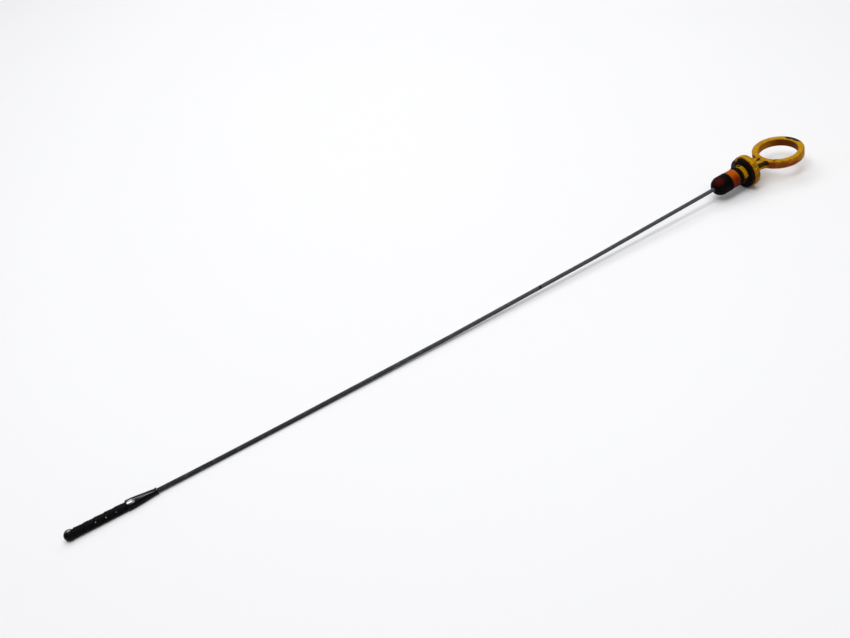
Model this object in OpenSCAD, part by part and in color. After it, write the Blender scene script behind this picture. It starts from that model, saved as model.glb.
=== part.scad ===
// Engine oil dipstick, lying as it comes to rest.
// The gauge tip's flat underside lies on the surface at the -X end, with its axis sloping down a
// little to the rod. The rod lies on the surface for a stretch along +X, and then bends up in one
// shallow curve to the handle, whose flange rim touches the surface.
// The origin is below the middle of the whole object, on the surface that it lies on.

/* [Rod] */
// Diameter of the coated steel rod
rod_d = 2.7; // [2:0.1:2.9]
// Length of the level stretch of rod that lies on the surface
rod_level = 28; // [10:1:300]
// Slope of the handle's axis above level, in degrees, at the end of the rod's bend
handle_slope = 3; // [3:0.25:5]
// Diameter of the rod's swaged ends, which the handle and the gauge tip are moulded round
swage_d = 3; // [2.9:0.1:3.2]
// Radial clearance of the rod in its bores
rod_clearance = 0.02; // [0.02:0.01:0.1]
// How far inside the swaged ends the rod's bends stop
bend_in_swage = 1; // [0.5:0.5:3]

/* [Handle stem] */
// Diameter of the stem that plugs the guide tube
stem_d = 12.8; // [11:0.2:16]
// Length of the stem from the nose cap's back face to the flange
stem_len = 15.6; // [14:0.2:24]
// Diameter of the spigot that the nose cap is pushed over
spigot_d = 8; // [6:0.2:9]
// Length of the spigot
spigot_len = 8; // [5:0.5:9]
// Depth of the rod's blind bore, from the end of the spigot
handle_bore_depth = 26; // [18:1:28]
// Radius of the moulded edges at both sides of the seal groove
stem_edge_r = 0.3; // [0.1:0.1:0.6]

/* [Handle flange] */
// Diameter of the flange
flange_d = 22.6; // [20:0.2:27]
// Thickness of the flange
flange_t = 5; // [3.5:0.5:8]
// Radius of the flange's edge on the ring side
flange_back_r = 1.9; // [0.5:0.1:2.5]
// Radius of the flange's edge on the tube side
flange_front_r = 0.7; // [0.2:0.1:0.9]

/* [Finger ring] */
// Outer diameter of the finger ring
ring_d = 35; // [28:0.5:50]
// Width of the ring's band, from its inner to its outer wall
ring_band = 4.3; // [3:0.1:6]
// Thickness of the ring, across its plane
ring_t = 5.8; // [3:0.1:8]
// Radius of the ring's moulded edges
ring_edge_r = 0.8; // [0.2:0.1:1.4]
// Gap between the flange and the ring's outer wall
neck_len = 9.2; // [6:0.2:16]
// Width of the neck at the flange
neck_w = 9; // [7:0.5:14]
// Radius of the flares where the neck runs into the ring
neck_flare_r = 4.5; // [2:0.5:8]
// How much thinner the neck is than the ring, on each face
neck_step = 0.6; // [0.1:0.05:1]

/* [Stem seal ring] */
// Diameter of the seal ring's round section
o_ring_section = 3.2; // [2:0.1:3.6]
// How far the seal ring stands out of the stem
o_ring_proud = 0.35; // [0.2:0.05:0.8]
// Length of the groove beyond the seal ring's section
groove_play = 0.2; // [0.1:0.1:0.6]
// Gap between the groove and the flange's seal
groove_to_seal = 3.4; // [2:0.1:6]

/* [Flange seal] */
// Outer diameter of the flange's seal
seal_d = 21.4; // [18:0.2:28]
// Thickness of the flange's seal
seal_t = 2.3; // [1.5:0.1:3.5]
// Radius of the seal's outer edges
seal_edge_r = 0.5; // [0.2:0.1:0.7]

/* [Nose cap] */
// Length of the nose cap
nose_len = 12.5; // [11:0.5:20]
// Diameter of the nose cap
nose_d = 13.3; // [12:0.1:18]
// Radius of the nose cap's domed front
nose_dome_r = 6.3; // [3:0.1:6.4]
// Radius of the nose cap's back edge
nose_back_r = 0.3; // [0.1:0.1:0.8]
// Clearance between seals and what they are fitted to
seal_clearance = 0.03; // [0.01:0.01:0.1]

/* [Gauge tip] */
// Diameter of the round end of the gauge
ball_d = 6.7; // [6:0.1:9]
// Largest diameter of the gauge's ridges
gauge_d = 5.7; // [5.2:0.1:8]
// Length of the ridged gauge
gauge_len = 30; // [18:1:40]
// Number of long steps along the gauge
gauge_steps = 5; // [3:1:8]
// Fall in radius along each long step
step_fall = 0.3; // [0.1:0.02:0.4]
// Number of fine ridges on each long step
ridges_per_step = 4; // [2:1:6]
// Depth of the fine ridges
ridge_depth = 0.1; // [0.05:0.01:0.2]
// Share of each fine ridge's length that is its top
ridge_top_share = 0.4; // [0.2:0.1:0.6]
// How far the gauge's smooth lower half stands out past the ridges
gauge_back_out = 0.25; // [0.05:0.05:0.5]
// Height of the middle of the round end above the flat underside
tip_axis_h = 2.7; // [2.4:0.1:2.9]
// Diameter of the waist behind the round end
waist_d = 5; // [3:0.1:5.4]
// Length of the waist
waist_len = 0.8; // [0.4:0.1:1.5]
// Length of the sleeve that grips the rod
sleeve_len = 18.7; // [14:0.1:26]
// Largest diameter of the sleeve
sleeve_d = 6.8; // [5.6:0.1:8]
// Radius of the sleeve's rounded shoulder
sleeve_shoulder_r = 1; // [0.4:0.1:1.5]
// Length of the sleeve before its taper starts
sleeve_barrel = 4; // [1:0.5:8]
// Wall of the sleeve round the rod at its thin end
sleeve_lip = 0.5; // [0.3:0.05:0.8]
// How far the bead at the sleeve's thin end stands out
sleeve_bead_out = 0.3; // [0.1:0.05:0.6]
// Length of that bead
sleeve_bead_len = 1; // [0.5:0.1:2]
// Wall of the sleeve under the rod at its thin end, down to the flat underside
sleeve_floor = 0.45; // [0.3:0.05:0.6]
// Length of the sleeve's narrow mouth, which grips the rod
sleeve_mouth = 3; // [1:0.5:5]
// Depth of the rod's blind bore in the sleeve
tip_bore_depth = 14; // [8:0.5:17]

/* [Hidden] */
$fn = 96;

rod_r = rod_d / 2;
swage_r = swage_d / 2;
bore_r = rod_r + rod_clearance;
stem_r = stem_d / 2;
spigot_r = spigot_d / 2;
flange_r = flange_d / 2;
ring_r = ring_d / 2;
ring_in_r = ring_r - ring_band;
seal_r = seal_d / 2;
nose_r = nose_d / 2;
ball_r = ball_d / 2;
gauge_r = gauge_d / 2;
waist_r = waist_d / 2;
sleeve_r = sleeve_d / 2;

// Places along the handle's axis, from the nose cap's front end
spigot_z = nose_len - spigot_len;
flange_z = nose_len + stem_len;
neck_z = flange_z + flange_t;
ring_z = neck_z + neck_len + ring_r;
seal_z = flange_z - seal_t;
groove_len = o_ring_section + groove_play;
groove_z = seal_z - groove_to_seal - groove_len;
o_ring_r = o_ring_section / 2;
o_ring_mid_r = stem_r + o_ring_proud - o_ring_r;
groove_r = o_ring_mid_r - o_ring_r - seal_clearance;
bore_end_z = spigot_z + handle_bore_depth;
bend_end_z = spigot_z + bend_in_swage;

// The gauge tip slopes down to the rod, which leaves it in a faint bend and then lies level
tip_len = ball_r + sqrt(pow(ball_r, 2) - pow(waist_r, 2)) + waist_len + gauge_len + sleeve_len;
tip_slope = asin((tip_axis_h - bore_r - sleeve_floor) / (tip_len - ball_r));
dip_z = tip_len - sleeve_mouth - bend_in_swage - ball_r;
dip_r = (tip_axis_h - dip_z * sin(tip_slope) - rod_r) / (1 - cos(tip_slope));

// The flange's lower edge on the tube side touches the surface. The bend ends inside the swage.
nose_h = flange_front_r + (flange_r - flange_front_r) * cos(handle_slope)
    - (flange_z + flange_front_r) * sin(handle_slope);
bend_rise = nose_h + bend_end_z * sin(handle_slope) - rod_r;
bend_r = bend_rise / (1 - cos(handle_slope));
bend_run = bend_r * sin(handle_slope);

// Places along X, from the round end of the gauge
level_x = ball_r + dip_z * cos(tip_slope) + dip_r * sin(tip_slope);
bend_x = level_x + rod_level;
nose_x = bend_x + bend_run - bend_end_z * cos(handle_slope);
far_x = nose_x + (ring_z + ring_r - ring_edge_r) * cos(handle_slope)
    + (ring_t / 2 - ring_edge_r) * sin(handle_slope) + ring_edge_r;
middle_x = far_x / 2;

// A quarter of a disc, in the quarter of the plane that x_side and y_side give
module quarter_disc(r, x_side, y_side) {
    intersection() {
        circle(r);
        translate([min(x_side, 0) * r, min(y_side, 0) * r])
            square(r);
    }
}

// A rectangle from x = 0 out to w and from y = 0 up to h, with rounded corners at its outer edge
module rounded_out(w, h, low_r, high_r) {
    square([w - low_r, low_r]);
    translate([0, low_r])
        square([w, h - low_r - high_r]);
    translate([0, h - high_r])
        square([w - high_r, high_r]);
    translate([w - low_r, low_r])
        quarter_disc(low_r, 1, -1);
    translate([w - high_r, h - high_r])
        quarter_disc(high_r, 1, 1);
}

// Places a piece that is drawn along +Z from the nose on the handle's sloping axis
module on_handle_axis() {
    translate([nose_x - middle_x, 0, nose_h])
        rotate([0, 90 - handle_slope, 0])
            children();
}

// Places a piece that is drawn along +Z from the gauge's round end on the tip's sloping axis
module on_tip_axis() {
    translate([ball_r - middle_x, 0, tip_axis_h])
        rotate([0, 90 + tip_slope, 0])
            translate([0, 0, -ball_r])
                children();
}

// The finger ring's band, in the plane of the neck
module finger_ring() {
    translate([0, 0, ring_z])
        rotate([0, 90, 0])
            rotate_extrude($fn = 144)
                translate([ring_in_r, -ring_t / 2])
                    intersection() {
                        rounded_out(ring_band, ring_t, ring_edge_r, ring_edge_r);
                        translate([ring_band, 0])
                            mirror([1, 0])
                                rounded_out(ring_band, ring_t, ring_edge_r, ring_edge_r);
                    }
}

// The neck's outline: a bar from the flange into the ring's band, with a hollow flare each side
module neck_outline() {
    half_w = neck_w / 2;
    flare_y = half_w + neck_flare_r;
    flare_x = ring_z - sqrt(pow(ring_r + neck_flare_r, 2) - pow(flare_y, 2));
    touch = ring_r / (ring_r + neck_flare_r);
    touch_x = ring_z - (ring_z - flare_x) * touch;
    difference() {
        polygon([
            [flange_z + flange_t / 2, -half_w],
            [flare_x, -half_w],
            [flare_x, -flare_y * touch],
            [touch_x, -flare_y * touch],
            [ring_z - ring_in_r - ring_band / 2, 0],
            [touch_x, flare_y * touch],
            [flare_x, flare_y * touch],
            [flare_x, half_w],
            [flange_z + flange_t / 2, half_w]
        ]);
        for (side = [-1, 1])
            translate([flare_x, side * flare_y])
                circle(neck_flare_r);
        translate([ring_z, 0])
            circle(ring_r - ring_band / 2);
    }
}

module neck() {
    rotate([0, -90, 0])
        translate([0, 0, -ring_t / 2 + neck_step])
            linear_extrude(ring_t - 2 * neck_step)
                neck_outline();
}

module stem() {
    translate([0, 0, spigot_z])
        cylinder(h = spigot_len + stem_edge_r, r = spigot_r);
    translate([0, 0, nose_len])
        rotate_extrude()
            rounded_out(stem_r, groove_z - nose_len, stem_edge_r, stem_edge_r);
    translate([0, 0, groove_z])
        cylinder(h = groove_len, r = groove_r);
    translate([0, 0, groove_z + groove_len])
        rotate_extrude()
            rounded_out(stem_r, groove_to_seal + seal_t + flange_t / 2, stem_edge_r, stem_edge_r);
}

module handle() {
    color("goldenrod")
        on_handle_axis()
            difference() {
                union() {
                    stem();
                    translate([0, 0, flange_z])
                        rotate_extrude()
                            rounded_out(flange_r, flange_t, flange_front_r, flange_back_r);
                    neck();
                    finger_ring();
                }
                translate([0, 0, spigot_z - 1])
                    cylinder(h = handle_bore_depth + 1, r = swage_r + rod_clearance);
            }
}

module flange_seal() {
    color("black")
        on_handle_axis()
            translate([0, 0, seal_z])
                difference() {
                    rotate_extrude()
                        rounded_out(seal_r, seal_t, seal_edge_r, seal_edge_r);
                    translate([0, 0, -1])
                        cylinder(h = seal_t + 2, r = stem_r + seal_clearance);
                }
}

module stem_o_ring() {
    color("black")
        on_handle_axis()
            translate([0, 0, groove_z + groove_len / 2])
                rotate_extrude()
                    translate([o_ring_mid_r, 0])
                        circle(o_ring_r, $fn = 48);
}

module nose_cap() {
    color("black")
        on_handle_axis()
            difference() {
                rotate_extrude()
                    rounded_out(nose_r, nose_len, nose_dome_r, nose_back_r);
                translate([0, 0, spigot_z - seal_clearance])
                    cylinder(h = spigot_len + 1, r = spigot_r + seal_clearance);
                translate([0, 0, -1])
                    cylinder(h = nose_len, r = bore_r);
            }
}

// A stretch of the rod, bent up from level by an angle, with the middle of the bend above x = 0
module rod_bend(r, angle) {
    translate([0, 0, r])
        rotate([90, 0, 0])
            rotate([0, 0, -90])
                rotate_extrude(angle = angle)
                    translate([r, 0])
                        circle(rod_r);
}

module rod() {
    color("dimgray") {
        translate([bend_x - middle_x, 0, rod_r]) {
            rotate([0, -90, 0])
                cylinder(h = rod_level, r = rod_r);
            rod_bend(bend_r, handle_slope);
            translate([-rod_level, 0, 0])
                mirror([1, 0, 0])
                    rod_bend(dip_r, tip_slope);
        }
        on_handle_axis()
            translate([0, 0, spigot_z + rod_clearance])
                cylinder(h = handle_bore_depth - 2 * rod_clearance, r = swage_r);
        on_tip_axis()
            translate([0, 0, tip_len - tip_bore_depth])
                cylinder(h = tip_bore_depth - sleeve_mouth - rod_clearance, r = swage_r);
    }
}

// Half the gauge tip's outline, from its round end at z = 0 to the sleeve's lip
module gauge_outline() {
    ball_end = ball_r + sqrt(pow(ball_r, 2) - pow(waist_r, 2));
    gauge_z = ball_end + waist_len;
    sleeve_z = gauge_z + gauge_len;
    step_len = gauge_len / gauge_steps;
    ridge_len = step_len / ridges_per_step;
    ridge_side = (1 - ridge_top_share) / 2;
    lip_r = bore_r + sleeve_lip;
    waist_angle = 180 - asin(waist_r / ball_r);
    ball = [for (i = [0:20]) let (a = waist_angle * i / 20)
        [ball_r * sin(a), ball_r * (1 - cos(a))]];
    ridges = [for (s = [0:gauge_steps - 1], k = [0:ridges_per_step - 1])
        let (z = gauge_z + s * step_len + k * ridge_len,
             r = gauge_r - step_fall * k / ridges_per_step)
        each [[r - ridge_depth, z], [r, z + ridge_len * ridge_side],
              [r, z + ridge_len * (1 - ridge_side)]]];
    shoulder = [for (i = [0:6]) let (a = 90 * i / 6)
        [sleeve_r - sleeve_shoulder_r * (1 - sin(a)), sleeve_z + sleeve_shoulder_r * (1 - cos(a))]];
    polygon(concat(
        ball,
        [[waist_r, gauge_z]],
        ridges,
        [[gauge_r - step_fall - ridge_depth, sleeve_z]],
        shoulder,
        [[sleeve_r, sleeve_z + sleeve_barrel],
         [lip_r, sleeve_z + sleeve_len - sleeve_bead_len],
         [lip_r + sleeve_bead_out, sleeve_z + sleeve_len - sleeve_bead_len / 2],
         [lip_r + sleeve_bead_out, sleeve_z + sleeve_len],
         [0, sleeve_z + sleeve_len]]));
}

// The gauge's lower half, which has no ridges and no waist
module gauge_back() {
    back_r = gauge_r + gauge_back_out;
    back_len = tip_len - sleeve_len + sleeve_shoulder_r - ball_r;
    intersection() {
        translate([0, 0, ball_r])
            cylinder(h = back_len, r = back_r);
        translate([0, -back_r - 1, ball_r - 1])
            cube([back_r + 1, 2 * back_r + 2, back_len + 2]);
    }
}

module gauge_tip() {
    color([0.06, 0.06, 0.07])
        difference() {
            on_tip_axis()
                difference() {
                    union() {
                        rotate_extrude()
                            gauge_outline();
                        gauge_back();
                    }
                    translate([0, 0, tip_len - tip_bore_depth - rod_clearance])
                        cylinder(h = tip_bore_depth - sleeve_mouth + rod_clearance,
                                 r = swage_r + rod_clearance);
                    translate([0, 0, tip_len - sleeve_mouth - 1])
                        cylinder(h = sleeve_mouth + 2, r = bore_r);
                }
            translate([-middle_x - 1, -ball_d, -ball_d])
                cube([tip_len + ball_d, 2 * ball_d, ball_d]);
        }
}

handle();
flange_seal();
stem_o_ring();
nose_cap();
rod();
gauge_tip();
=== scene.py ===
import math

import bpy
from mathutils import Matrix, Vector

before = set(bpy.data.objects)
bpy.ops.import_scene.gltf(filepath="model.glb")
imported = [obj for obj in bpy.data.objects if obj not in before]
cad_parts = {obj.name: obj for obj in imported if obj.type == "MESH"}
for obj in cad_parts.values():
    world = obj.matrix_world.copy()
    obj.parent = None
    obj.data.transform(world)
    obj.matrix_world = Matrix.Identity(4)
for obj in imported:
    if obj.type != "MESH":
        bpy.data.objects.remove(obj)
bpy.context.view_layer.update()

MM = 0.001
IMAGE_WIDTH = 850

# The handle's axis: its nose is at NOSE_PLACE, and it rises by HANDLE_SLOPE towards the ring
HANDLE_SLOPE = math.radians(3)
NOSE_PLACE = (0.196190, 0.0, 0.009778)
# The gauge tip's axis sinks by TIP_SLOPE from its round end to the rod
TIP_SLOPE = math.radians(-0.975)
TIP_PLACE = (-0.273495, 0.0, 0.00276)
ROD_PLACE = (-0.273495, 0.0, 0.00135)
# The finger ring's middle in the handle's own millimetres, its radii and half its thickness
RING_MIDDLE = (59.8, 0.0, 0.0)
RING_OUTER = 17.5
RING_INNER = 13.2
RING_FACE = 2.9
# Stations along the handle's axis in millimetres from its nose: where the amber front of the stem
# ends, the yellow band between the two seals, the flange's two faces and the end of the neck
AMBER_END = 20.0
BAND_MIDDLE = 24.1
BAND_END = 26.6
FLANGE_FRONT = 28.2
FLANGE_BACK = 33.0
NECK_END = 42.0
# Where the gauge tip's sleeve starts, in millimetres from the round end
SLEEVE_START = 36.4


def paint(red, green, blue):
    """A colour from its 0 to 255 screen values."""
    def linear(level):
        level /= 255
        return level / 12.92 if level < 0.04045 else ((level + 0.055) / 1.055) ** 2.4
    return (linear(red), linear(green), linear(blue), 1.0)


# ---- wiring of shader nodes


class Wiring:
    """Puts nodes in one tree. Each input takes a socket or a plain value."""

    def __init__(self, tree):
        self.tree = tree

    def feed(self, socket, value):
        if isinstance(value, bpy.types.NodeSocket):
            self.tree.links.new(value, socket)
        else:
            socket.default_value = value

    def node(self, kind, inputs=None, **settings):
        made = self.tree.nodes.new(kind)
        for name, value in settings.items():
            setattr(made, name, value)
        for name, value in (inputs or {}).items():
            self.feed(made.inputs[name], value)
        return made

    def math(self, operation, first, second=0.0):
        return self.node("ShaderNodeMath", {0: first, 1: second}, operation=operation).outputs[0]

    def mix(self, share, first, second):
        made = self.node("ShaderNodeMix", data_type="RGBA")
        for index, value in ((0, share), (6, first), (7, second)):
            self.feed(made.inputs[index], value)
        return made.outputs[2]

    def remap(self, value, low, high, to_low=0.0, to_high=1.0):
        made = self.node("ShaderNodeMapRange", {0: value, 1: low, 2: high, 3: to_low, 4: to_high})
        made.interpolation_type = "SMOOTHSTEP"
        return made.outputs[0]

    def noise(self, place, scale, detail=3.0, roughness=0.55):
        made = self.node("ShaderNodeTexNoise", {
            "Vector": place, "Scale": scale, "Detail": detail, "Roughness": roughness})
        return made.outputs[0]

    def vector_math(self, operation, first, second=(0.0, 0.0, 0.0)):
        return self.node("ShaderNodeVectorMath", {0: first, 1: second}, operation=operation).outputs

    def split(self, place):
        return self.node("ShaderNodeSeparateXYZ", {0: place}).outputs

    def group(self, group, **inputs):
        made = self.tree.nodes.new("ShaderNodeGroup")
        made.node_tree = group
        for name, value in inputs.items():
            self.feed(made.inputs[name.replace("_", " ")], value)
        return made.outputs


def shared_group(name, inputs, outputs):
    """An empty node group with named sockets, and the wiring and sockets to fill it with."""
    group = bpy.data.node_groups.new(name, "ShaderNodeTree")
    kinds = {"vector": "NodeSocketVector", "number": "NodeSocketFloat"}
    for label, kind, value in inputs:
        made = group.interface.new_socket(label, in_out="INPUT", socket_type=kinds[kind])
        made.default_value = value
    for label, kind in outputs:
        group.interface.new_socket(label, in_out="OUTPUT", socket_type=kinds[kind])
    wires = Wiring(group)
    came_in = wires.node("NodeGroupInput").outputs
    goes_out = wires.node("NodeGroupOutput").inputs
    return group, wires, came_in, goes_out


def make_stain_group():
    """A soft-edged stain: an ellipsoid round a centre, with its edge broken up by noise."""
    group, w, given, out = shared_group("Stain", [
        ("Place", "vector", (0, 0, 0)), ("Centre", "vector", (0, 0, 0)), ("Size", "vector", (1, 1, 1)),
        ("Softness", "number", 0.3), ("Raggedness", "number", 0.5), ("Grain", "number", 0.8),
    ], [("Mask", "number")])
    away = w.vector_math("SUBTRACT", given["Place"], given["Centre"])[0]
    shares = w.vector_math("DIVIDE", away, given["Size"])[0]
    reach = w.vector_math("LENGTH", shares)["Value"]
    ragged = w.math("SUBTRACT", w.noise(given["Place"], given["Grain"], 4.0, 0.65), 0.5)
    ragged = w.math("MULTIPLY", ragged, w.math("MULTIPLY", given["Raggedness"], 2.0))
    reach = w.math("ADD", reach, ragged)
    inner = w.math("SUBTRACT", 1.0, given["Softness"])
    outer = w.math("ADD", 1.0, given["Softness"])
    w.feed(out["Mask"], w.remap(reach, outer, inner))
    return group


def make_grime_group():
    """Blotches of dirt: broad patches, broken up by a finer noise."""
    group, w, given, out = shared_group("Grime", [
        ("Place", "vector", (0, 0, 0)), ("Grain", "number", 0.3), ("Cover", "number", 0.4),
        ("Softness", "number", 0.12),
    ], [("Mask", "number")])
    broad = w.noise(given["Place"], given["Grain"], 5.0, 0.6)
    fine = w.noise(given["Place"], w.math("MULTIPLY", given["Grain"], 6.0), 3.0, 0.6)
    level = w.math("ADD", w.math("MULTIPLY", broad, 0.75), w.math("MULTIPLY", fine, 0.25))
    edge = w.math("SUBTRACT", 1.0, given["Cover"])
    low = w.math("SUBTRACT", edge, given["Softness"])
    high = w.math("ADD", edge, given["Softness"])
    w.feed(out["Mask"], w.remap(w.remap(level, 0.3, 0.7), low, high))
    return group


def make_skin_group():
    """The skin of a used moulding: fine grain, shallow dents and hairline scratches, as a height."""
    group, w, given, out = shared_group("Moulded skin", [
        ("Place", "vector", (0, 0, 0)), ("Grain", "number", 6.0), ("Scratches", "number", 0.5),
    ], [("Height", "number"), ("Scratch", "number")])
    grain = w.noise(given["Place"], given["Grain"], 2.0, 0.5)
    dents = w.noise(given["Place"], w.math("MULTIPLY", given["Grain"], 0.12), 2.0, 0.5)
    drawn = w.node("ShaderNodeMapping", {"Vector": given["Place"], "Scale": (0.22, 3.2, 3.2),
                                          "Rotation": (0.3, 0.5, 0.6)}).outputs[0]
    line = w.noise(drawn, 1.3, 2.0, 0.5)
    hair = w.remap(w.math("ABSOLUTE", w.math("SUBTRACT", line, 0.5)), 0.012, 0.0)
    hair = w.math("MULTIPLY", hair, given["Scratches"])
    height = w.math("ADD", w.math("MULTIPLY", grain, 0.25), w.math("MULTIPLY", dents, 0.8))
    w.feed(out["Height"], w.math("SUBTRACT", height, w.math("MULTIPLY", hair, 0.35)))
    w.feed(out["Scratch"], hair)
    return group


def make_film_group():
    """A film of oil: where it lies thick the surface is smoother, and where it has dried it is dull."""
    group, w, given, out = shared_group("Oil film", [
        ("Place", "vector", (0, 0, 0)), ("Wet", "number", 0.2), ("Dry", "number", 0.6),
        ("Grain", "number", 0.3),
    ], [("Roughness", "number")])
    film = w.remap(w.noise(given["Place"], given["Grain"], 4.0, 0.6), 0.36, 0.64)
    span = w.math("SUBTRACT", given["Wet"], given["Dry"])
    w.feed(out["Roughness"], w.math("ADD", given["Dry"], w.math("MULTIPLY", film, span)))
    return group


STAIN = make_stain_group()
GRIME = make_grime_group()
SKIN = make_skin_group()
FILM = make_film_group()


def start_material(name, place, slope):
    """A material, its wiring, its shader and its place in millimetres along the piece's axis."""
    material = bpy.data.materials.new(name)
    material.use_nodes = True
    tree = material.node_tree
    tree.nodes.clear()
    w = Wiring(tree)
    shader = w.node("ShaderNodeBsdfPrincipled")
    output = w.node("ShaderNodeOutputMaterial")
    tree.links.new(shader.outputs[0], output.inputs[0])
    where = w.node("ShaderNodeTexCoord").outputs["Object"]
    turned = w.node("ShaderNodeMapping", {
        "Vector": where, "Location": place, "Rotation": (0.0, -slope, 0.0), "Scale": (MM, MM, MM)},
        vector_type="TEXTURE").outputs[0]
    return material, w, shader, turned


def add_bump(w, shader, height, strength, distance):
    """Raises the surface by height, with distance in millimetres."""
    bump = w.node("ShaderNodeBump", {"Height": height, "Strength": strength, "Distance": distance * MM})
    w.feed(shader.inputs["Normal"], bump.outputs[0])


def stain(w, place, centre, size, softness=0.3, raggedness=0.5, grain=0.8):
    return w.group(STAIN, Place=place, Centre=centre, Size=size, Softness=softness,
                   Raggedness=raggedness, Grain=grain)["Mask"]


def most(w, masks):
    """The strongest of several masks."""
    strongest = masks[0]
    for mask in masks[1:]:
        strongest = w.math("MAXIMUM", strongest, mask)
    return strongest


# ---- materials


def handle_material():
    """Yellow moulded plastic, stained amber where oil reaches the stem, with grime and painted shade on
    its walls and painted shade low on the stem.
    """
    material, w, shader, place = start_material("oil_stained_yellow_plastic", NOSE_PLACE, HANDLE_SLOPE)
    along, across, up = w.split(place)

    # Distance from the ring's middle, which tells its walls from its faces
    from_ring = w.vector_math("SUBTRACT", place, RING_MIDDLE)[0]
    flat = w.vector_math("MULTIPLY", from_ring, (1.0, 1.0, 0.0))[0]
    ring_radius = w.vector_math("LENGTH", flat)["Value"]
    on_ring = w.remap(along, NECK_END - 4.0, NECK_END)
    off_face = w.remap(w.math("ABSOLUTE", up), RING_FACE - 0.1, RING_FACE - 0.8)
    inner_wall = w.math("MULTIPLY", w.remap(ring_radius, RING_INNER + 0.8, RING_INNER + 0.2), off_face)
    outer_wall = w.remap(ring_radius, RING_OUTER - 0.8, RING_OUTER - 0.2)
    outer_wall = w.math("MULTIPLY", w.math("MULTIPLY", outer_wall, off_face), on_ring)
    # The neck's flat top lies as far out as the outer wall, but is kept clear of the walls' painted
    # shade and the edge browning
    neck_face = w.math("MULTIPLY", w.remap(up, 1.9, 2.15),
                       w.remap(ring_radius, RING_OUTER - 0.1, RING_OUTER + 0.3))
    off_neck_face = w.math("SUBTRACT", 1.0, neck_face)
    outer_wall = w.math("MULTIPLY", outer_wall, off_neck_face)

    tone = w.remap(w.noise(place, 0.16, 4.0, 0.6), 0.3, 0.7)
    colour = w.mix(tone, paint(166, 114, 4), paint(192, 144, 6))
    speckle = w.remap(w.noise(place, 2.4, 3.0, 0.6), 0.56, 0.7)
    colour = w.mix(w.math("MULTIPLY", speckle, 0.35), colour, paint(150, 100, 14))

    # Walls: painted shade, brown and broken up by grime noise outside, reddish brown inside and darkest
    # red on the far inner wall
    wall_grime_and_shade = w.group(GRIME, Place=place, Grain=0.22, Cover=0.62, Softness=0.3)["Mask"]
    wall_shade_brown = w.math("ADD", w.math("MULTIPLY", wall_grime_and_shade, w.remap(along, 72.0, 60.0, 0.15, 0.45)),
                        w.remap(along, 69.0, 58.0, 0.0, 0.5))
    colour = w.mix(w.math("MULTIPLY", outer_wall, wall_shade_brown), colour, paint(168, 98, 14))
    # Painted shade on the inner wall, deepest towards its far side
    far_round = w.math("ADD", w.math("SUBTRACT", along, across),
                       w.math("MULTIPLY", w.noise(place, 0.5), 10.0))
    deep_inner_shade = w.remap(far_round, 48.0, 66.0)
    colour = w.mix(w.math("MULTIPLY", inner_wall, 0.85), colour, paint(160, 92, 10))
    deep_inner_shade = w.math("MULTIPLY", inner_wall, w.math("MULTIPLY", deep_inner_shade, 0.9))
    colour = w.mix(deep_inner_shade, colour, paint(86, 26, 8))

    # Darker brown, broken up by noise, along the ring's rounded upper edge
    edge = w.math("MULTIPLY", w.remap(ring_radius, RING_OUTER - 1.3, RING_OUTER - 0.5),
                  w.remap(up, 1.9, 2.4))
    edge = w.math("MULTIPLY", edge, w.remap(w.noise(place, 0.45, 4.0, 0.65), 0.42, 0.6))
    edge = w.math("MULTIPLY", edge, off_neck_face)
    edge = w.math("MULTIPLY", w.math("MULTIPLY", edge, on_ring), 0.7)
    colour = w.mix(edge, colour, paint(126, 70, 10))

    # Painted shade in reddish brown on the ring's near outer wall
    red_wall_shade = most(w, [
        stain(w, place, (44.8, -9.0, 0.0), (3.6, 3.4, 2.7), 0.4, 0.6, 0.6),
        stain(w, place, (49.6, -14.0, -0.2), (5.4, 4.4, 2.6), 0.5, 0.7, 0.5),
        stain(w, place, (57.0, -17.2, -1.0), (5.0, 2.4, 1.4), 0.5, 0.7, 0.6),
    ])
    colour = w.mix(w.math("MULTIPLY", red_wall_shade, 0.8), colour, paint(112, 34, 12))

    # The stem: stained amber in front of the seal ring, with painted shade in darker red low down,
    # yellow behind it
    front_stem = w.remap(along, AMBER_END, AMBER_END - 0.6)
    uneven_up = w.math("ADD", up, w.math("MULTIPLY", w.noise(place, 0.7), 3.0))
    # Painted shade: the amber turns darker red low on the stem, darkest at the bottom
    low = w.remap(uneven_up, 8.4, 3.4)
    lowest_shade = w.remap(uneven_up, 3.4, 0.2)
    amber = w.mix(low, paint(172, 82, 4), paint(100, 12, 3))
    amber = w.mix(lowest_shade, amber, paint(70, 4, 3))
    streak = w.remap(w.noise(place, 1.1, 3.0), 0.48, 0.66)
    amber = w.mix(w.math("MULTIPLY", streak, 0.5), amber, paint(120, 26, 4))
    colour = w.mix(front_stem, colour, amber)

    # Painted shade in the corner where the neck meets the flange, and grime scattered over the rest
    from_corner = w.math("ABSOLUTE", w.math("SUBTRACT", along, FLANGE_BACK + 0.5))
    corner_shade = w.math("MULTIPLY", w.remap(from_corner, 1.3, 0.2),
                    w.remap(w.math("ABSOLUTE", up), 4.0, 2.0))
    scattered = w.group(GRIME, Place=place, Grain=0.35, Cover=0.3, Softness=0.2)["Mask"]
    dirt_and_corner_shade = w.math("MAXIMUM", w.math("MULTIPLY", corner_shade, 0.2), w.math("MULTIPLY", scattered, 0.4))
    colour = w.mix(dirt_and_corner_shade, colour, paint(112, 70, 8))

    # Black marks: dried oil on the neck, the flange, the stem and the ring, and black on the stem's
    # yellow band below its top
    on_band = w.math("MULTIPLY", w.remap(along, AMBER_END, AMBER_END + 1.0),
                     w.remap(along, BAND_END, BAND_END - 0.6))
    # The stem's yellow band turns black below its top, with a noisy edge
    ragged_up = w.math("ADD", w.math("SUBTRACT", up, w.math("MULTIPLY", across, 0.35)),
                       w.math("MULTIPLY", w.noise(place, 0.6), 4.0))
    black_low_on_band = w.math("MULTIPLY", on_band, w.remap(ragged_up, 4.6, 4.0))
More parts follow.
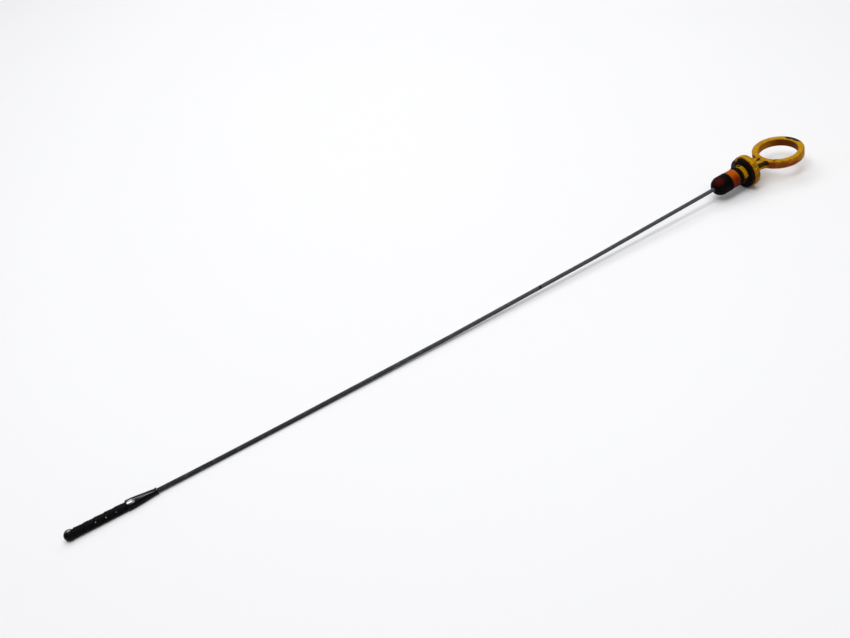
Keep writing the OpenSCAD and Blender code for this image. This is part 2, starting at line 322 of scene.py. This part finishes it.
    # Ragged black edges where the yellow band of the stem meets its two seals
    from_band = w.math("ABSOLUTE", w.math("SUBTRACT", along, BAND_MIDDLE))
    from_band = w.math("ADD", from_band, w.math("MULTIPLY", w.noise(place, 0.9, 4.0, 0.65), 1.6))
    band_edges = w.math("MULTIPLY", w.remap(from_band, 2.2, 2.5), on_band)
    black_marks = most(w, [
        black_low_on_band,
        band_edges,
        stain(w, place, (37.2, -5.2, 1.4), (7.0, 2.9, 2.1), 0.08, 0.2, 0.7),
        stain(w, place, (42.0, -5.8, 1.7), (2.7, 2.6, 1.9), 0.12, 0.3, 0.8),
        stain(w, place, (42.2, 1.0, 2.6), (2.0, 1.1, 1.1), 0.12, 0.2, 1.2),
        stain(w, place, (37.4, 5.0, 2.2), (2.2, 1.0, 1.2), 0.2, 0.4, 1.2),
        stain(w, place, (42.6, 6.4, 1.9), (2.7, 1.8, 1.2), 0.15, 0.3, 1.0),
        stain(w, place, (76.2, -0.8, 2.7), (2.1, 5.0, 1.4), 0.12, 0.25, 0.9),
        stain(w, place, (75.2, 4.8, 2.7), (2.1, 3.4, 1.4), 0.12, 0.25, 0.9),
        stain(w, place, (48.6, -9.0, 3.0), (2.4, 0.6, 0.6), 0.3, 0.3, 1.0),
        stain(w, place, (24.1, 0.9, 6.4), (1.6, 1.3, 1.2), 0.15, 0.3, 1.0),
        stain(w, place, (23.4, 3.6, 5.2), (1.2, 1.2, 1.2), 0.2, 0.4, 1.0),
    ])
    black_marks = w.math("MULTIPLY", black_marks, 0.96)
    colour = w.mix(black_marks, colour, paint(20, 18, 6))

    # Brown grime on the flange's rim
    on_flange = w.math("MULTIPLY", w.remap(along, FLANGE_FRONT - 0.6, FLANGE_FRONT),
                       w.remap(along, FLANGE_BACK + 0.6, FLANGE_BACK))
    rim_grime = w.group(GRIME, Place=place, Grain=0.25, Cover=0.5, Softness=0.25)["Mask"]
    rim_grime = w.math("MULTIPLY", w.math("MULTIPLY", on_flange, rim_grime), 0.8)
    colour = w.mix(rim_grime, colour, paint(112, 70, 8))

    skin = w.group(SKIN, Place=place, Grain=4.5, Scratches=0.6)
    colour = w.mix(w.math("MULTIPLY", skin["Scratch"], 0.25), colour, paint(228, 196, 70))
    w.feed(shader.inputs["Base Color"], colour)

    film = w.group(FILM, Place=place, Wet=0.34, Dry=0.55, Grain=0.3)
    smoother = w.math("SUBTRACT", 1.0, w.math("MULTIPLY", front_stem, 0.1))
    w.feed(shader.inputs["Roughness"], w.math("MULTIPLY", film["Roughness"], smoother))
    shader.inputs["Specular IOR Level"].default_value = 0.035
    height = w.math("ADD", skin["Height"], w.math("MULTIPLY", black_marks, 0.6))
    add_bump(w, shader, height, 0.55, 0.12)
    return material


def seal_material():
    """Black rubber with dried oil, worn to tan and dark red in places."""
    material, w, shader, place = start_material("oily_black_seal_rubber", NOSE_PLACE, HANDLE_SLOPE)
    tone = w.remap(w.noise(place, 0.5, 4.0), 0.3, 0.7)
    colour = w.mix(tone, paint(5, 4, 4), paint(15, 12, 11))
    along, across, up = w.split(place)
    from_axis = w.math("SQRT", w.math("ADD", w.math("MULTIPLY", across, across),
                                      w.math("MULTIPLY", up, up)))
    rim = w.math("MULTIPLY", w.remap(from_axis, 8.6, 10.2), w.remap(along, 25.2, 26.4))
    red = w.math("MULTIPLY", rim, w.remap(w.noise(place, 0.4, 4.0, 0.6), 0.4, 0.6))
    colour = w.mix(w.math("MULTIPLY", red, 0.5), colour, paint(58, 10, 4))
    grey = stain(w, place, (26.5, 9.0, 4.5), (4.0, 2.6, 5.5), 0.4, 0.4, 0.6)
    colour = w.mix(w.math("MULTIPLY", grey, 0.7), colour, paint(58, 58, 56))
    tan = stain(w, place, (26.6, 5.4, 9.2), (2.2, 1.7, 1.8), 0.2, 0.5, 0.8)
    colour = w.mix(w.math("MULTIPLY", tan, 0.85), colour, paint(164, 108, 42))
    w.feed(shader.inputs["Base Color"], colour)
    film = w.group(FILM, Place=place, Wet=0.42, Dry=0.75, Grain=0.4)
    w.feed(shader.inputs["Roughness"], film["Roughness"])
    shader.inputs["Specular IOR Level"].default_value = 0.04
    skin = w.group(SKIN, Place=place, Grain=5.0, Scratches=0.3)
    add_bump(w, shader, skin["Height"], 0.6, 0.1)
    return material


def nose_material():
    """Black rubber under a dull film of oil, with a painted dark red highlight on top."""
    material, w, shader, place = start_material("dull_black_nose_rubber", NOSE_PLACE, HANDLE_SLOPE)
    tone = w.remap(w.noise(place, 0.4, 4.0), 0.3, 0.7)
    colour = w.mix(tone, paint(3, 3, 3), paint(10, 8, 8))
    # Painted highlight: a dark red glow on the nose's top
    red_highlight = stain(w, place, (3.6, -1.6, 5.4), (3.4, 3.2, 2.2), 0.75, 0.3, 0.5)
    colour = w.mix(w.math("MULTIPLY", red_highlight, 0.6), colour, paint(84, 12, 10))
    w.feed(shader.inputs["Base Color"], colour)
    film = w.group(FILM, Place=place, Wet=0.45, Dry=0.7, Grain=0.35)
    w.feed(shader.inputs["Roughness"], film["Roughness"])
    shader.inputs["Specular IOR Level"].default_value = 0.03
    skin = w.group(SKIN, Place=place, Grain=4.0, Scratches=0.4)
    add_bump(w, shader, skin["Height"], 0.6, 0.12)
    return material


def rod_material():
    """Dark satin coating on steel wire, with worn flecks and faint draw lines along it."""
    material, w, shader, place = start_material("dark_coated_steel", ROD_PLACE, 0.0)
    along = w.split(place)[0]
    colour = w.mix(w.remap(along, 40.0, 440.0), paint(36, 37, 40), paint(76, 77, 81))
    lines = w.node("ShaderNodeMapping", {"Vector": place, "Scale": (0.06, 2.4, 2.4)}).outputs[0]
    drawn = w.noise(lines, 1.6, 3.0)
    colour = w.mix(w.remap(drawn, 0.4, 0.7, 0.0, 0.4), colour, paint(18, 18, 21))
    worn = w.group(GRIME, Place=place, Grain=0.25, Cover=0.22, Softness=0.12)["Mask"]
    colour = w.mix(w.math("MULTIPLY", worn, 0.45), colour, paint(92, 92, 94))
    fleck = w.remap(w.noise(place, 1.9, 2.0), 0.7, 0.76)
    colour = w.mix(fleck, colour, paint(112, 108, 100))
    speck = stain(w, place, (322.0, -0.6, 4.2), (0.9, 1.6, 2.4), 0.2, 0.3, 1.5)
    colour = w.mix(speck, colour, paint(14, 12, 12))
    w.feed(shader.inputs["Base Color"], colour)
    w.feed(shader.inputs["Metallic"], w.math("MULTIPLY", worn, 0.6))
    film = w.group(FILM, Place=place, Wet=0.38, Dry=0.62, Grain=0.12)
    w.feed(shader.inputs["Roughness"], film["Roughness"])
    shader.inputs["Specular IOR Level"].default_value = 0.15
    height = w.math("ADD", w.math("MULTIPLY", drawn, 0.6), w.math("MULTIPLY", w.noise(place, 2.2), 0.4))
    add_bump(w, shader, height, 0.5, 0.05)
    return material


def tip_material():
    """Black moulding: the gauge is oily and dull, and the sleeve is glossy under fresh oil."""
    material, w, shader, place = start_material("oily_black_gauge_plastic", TIP_PLACE, TIP_SLOPE)
    along, across, up = w.split(place)
    on_sleeve = w.remap(along, SLEEVE_START, SLEEVE_START + 0.8)
    tone = w.remap(w.noise(place, 0.5, 4.0), 0.3, 0.7)
    colour = w.mix(tone, paint(2, 2, 2), paint(7, 7, 8))
    colour = w.mix(w.math("MULTIPLY", on_sleeve, 0.7), colour, paint(5, 6, 16))
    # Painted reflection of the floor: the round end's underside is painted greenish grey
    green = w.math("MULTIPLY", w.remap(along, 5.0, 0.5), w.remap(up, 1.0, -2.2))
    colour = w.mix(w.math("MULTIPLY", green, 0.8), colour, paint(30, 42, 34))
    # Painted highlights: pale specks where glints show on the gauge's step crests and on top of the
    # round end
    painted_glints = most(w, [
        stain(w, place, (18.4, -2.3, 1.7), (0.3, 0.35, 0.4), 0.2, 0.1, 1.0),
        stain(w, place, (24.4, -2.5, 1.5), (0.36, 0.42, 0.45), 0.2, 0.1, 1.0),
        stain(w, place, (30.4, -2.4, 1.6), (0.24, 0.26, 0.3), 0.2, 0.1, 1.0),
        stain(w, place, (4.6, 0.6, 3.3), (1.3, 0.3, 0.5), 0.4, 0.6, 1.6),
    ])
    colour = w.mix(w.math("MULTIPLY", painted_glints, 0.8), colour, paint(170, 172, 178))
    w.feed(shader.inputs["Base Color"], colour)
    film = w.group(FILM, Place=place, Wet=0.4, Dry=0.6, Grain=0.5)
    roughness = w.math("MULTIPLY", film["Roughness"], w.remap(on_sleeve, 0.0, 1.0, 1.0, 0.4))
    w.feed(shader.inputs["Roughness"], roughness)
    shader.inputs["Specular IOR Level"].default_value = 0.08
    # Fresh oil lies thick on top of the sleeve's shoulder, in a thin line along its top and on top
    # of the ball end
    oil_line = stain(w, place, (SLEEVE_START + 9.0, -1.0, 2.6), (9.5, 0.4, 1.6), 0.3, 0.15, 0.8)
    fresh_oil = most(w, [
        stain(w, place, (SLEEVE_START + 3.2, -1.5, 3.2), (2.2, 1.5, 1.8), 0.35, 0.15, 0.8),
        w.math("MULTIPLY", oil_line, 0.8),
    ])
    ball_oil = stain(w, place, (3.4, -0.1, 3.3), (1.8, 0.6, 0.7), 0.3, 0.2, 0.8)
    fresh_oil = w.math("MAXIMUM", w.math("MULTIPLY", on_sleeve, fresh_oil), ball_oil)
    w.feed(shader.inputs["Coat Weight"], fresh_oil)
    shader.inputs["Coat Roughness"].default_value = 0.08
    shader.inputs["Coat IOR"].default_value = 2.6
    skin = w.group(SKIN, Place=place, Grain=3.0, Scratches=0.2)
    bumpy = w.math("MULTIPLY", skin["Height"], w.remap(on_sleeve, 0.0, 1.0, 1.0, 0.25))
    add_bump(w, shader, bumpy, 0.5, 0.1)
    return material


# ---- camera, lights and floor

FLOOR_SIZE = 12.0
FOCAL_PIXELS = 942.9
CAMERA_AWAY = 0.601592
CAMERA_SIDE = -0.033995
CAMERA_UP = 0.00397
LOOK_PLAN = math.radians(69.366)
LOOK_DOWN = math.radians(36.047)
LEAN = math.radians(-14.614)


def add_camera():
    ahead = Vector((math.cos(LOOK_PLAN) * math.cos(LOOK_DOWN),
                    math.sin(LOOK_PLAN) * math.cos(LOOK_DOWN), -math.sin(LOOK_DOWN)))
    level_right = Vector((math.sin(LOOK_PLAN), -math.cos(LOOK_PLAN), 0.0))
    level_up = level_right.cross(ahead)
    right = level_right * math.cos(LEAN) + level_up * math.sin(LEAN)
    above = level_up * math.cos(LEAN) - level_right * math.sin(LEAN)
    stand = -CAMERA_AWAY * ahead + CAMERA_SIDE * right + CAMERA_UP * above
    data = bpy.data.cameras.new("camera")
    data.sensor_fit = "HORIZONTAL"
    data.lens = FOCAL_PIXELS / IMAGE_WIDTH * data.sensor_width
    data.clip_start = 0.01
    data.clip_end = 20.0
    camera = bpy.data.objects.new("camera", data)
    bpy.context.scene.collection.objects.link(camera)
    camera.matrix_world = Matrix((
        (right.x, above.x, -ahead.x, stand.x),
        (right.y, above.y, -ahead.y, stand.y),
        (right.z, above.z, -ahead.z, stand.z),
        (0.0, 0.0, 0.0, 1.0)))
    bpy.context.scene.camera = camera


def add_softbox(name, place, look_at, size, watts):
    data = bpy.data.lights.new(name, "AREA")
    data.shape = "RECTANGLE"
    data.size, data.size_y = size
    data.energy = watts
    light = bpy.data.objects.new(name, data)
    bpy.context.scene.collection.objects.link(light)
    light.location = place
    light.rotation_euler = (Vector(look_at) - Vector(place)).to_track_quat("-Z", "Y").to_euler()


def add_floor():
    bpy.ops.object.select_all(action="DESELECT")
    bpy.ops.mesh.primitive_plane_add(size=FLOOR_SIZE, location=(0.0, 0.0, 0.0))
    floor = bpy.context.object
    floor.name = "floor"
    material = bpy.data.materials.new("pale_floor")
    material.use_nodes = True
    w = Wiring(material.node_tree)
    shader = material.node_tree.nodes["Principled BSDF"]
    where = w.node("ShaderNodeTexCoord").outputs["Object"]
    shade = w.noise(where, 1.6, 2.0)
    w.feed(shader.inputs["Base Color"], w.mix(shade, paint(238, 238, 240), paint(241, 241, 242)))
    shader.inputs["Roughness"].default_value = 0.9
    shader.inputs["Specular IOR Level"].default_value = 0.1
    floor.data.materials.append(material)


def light_scene():
    world = bpy.data.worlds.new("studio")
    world.use_nodes = True
    background = world.node_tree.nodes["Background"]
    background.inputs["Color"].default_value = (0.985, 0.99, 1.0, 1.0)
    background.inputs["Strength"].default_value = 0.24
    bpy.context.scene.world = world
    add_softbox("front_softbox", (0.05, -0.75, 1.0), (0.05, 0.0, 0.0), (0.6, 0.5), 2.0)
    add_softbox("right_softbox", (0.38, -0.02, 1.2), (0.1, 0.0, 0.0), (0.6, 0.5), 3.3)
    add_softbox("left_softbox", (-0.3, -0.1, 1.2), (-0.1, 0.0, 0.0), (0.6, 0.5), 5.3)
    add_softbox("far_left_softbox", (-0.9, 1.3, 1.3), (-0.9, 1.4, 0.0), (1.8, 1.4), 3.9)
    add_softbox("far_right_softbox", (0.6, 1.2, 1.3), (0.6, 1.3, 0.0), (2.2, 1.6), 17.7)
    bpy.context.scene.view_settings.view_transform = "Standard"
    bpy.context.scene.view_settings.look = "None"
    bpy.context.scene.view_settings.exposure = 0.0


# ---- dressing


def dress(node, material):
    """Gives a CAD node its finish through its material slots."""
    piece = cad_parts[node]
    for holder in piece.material_slots:
        holder.material = material


add_camera()
light_scene()
add_floor()

rubber = seal_material()
dress("handle", handle_material())
dress("flange_seal", rubber)
dress("stem_o_ring", rubber)
dress("nose_cap", nose_material())
dress("rod", rod_material())
dress("gauge_tip", tip_material())
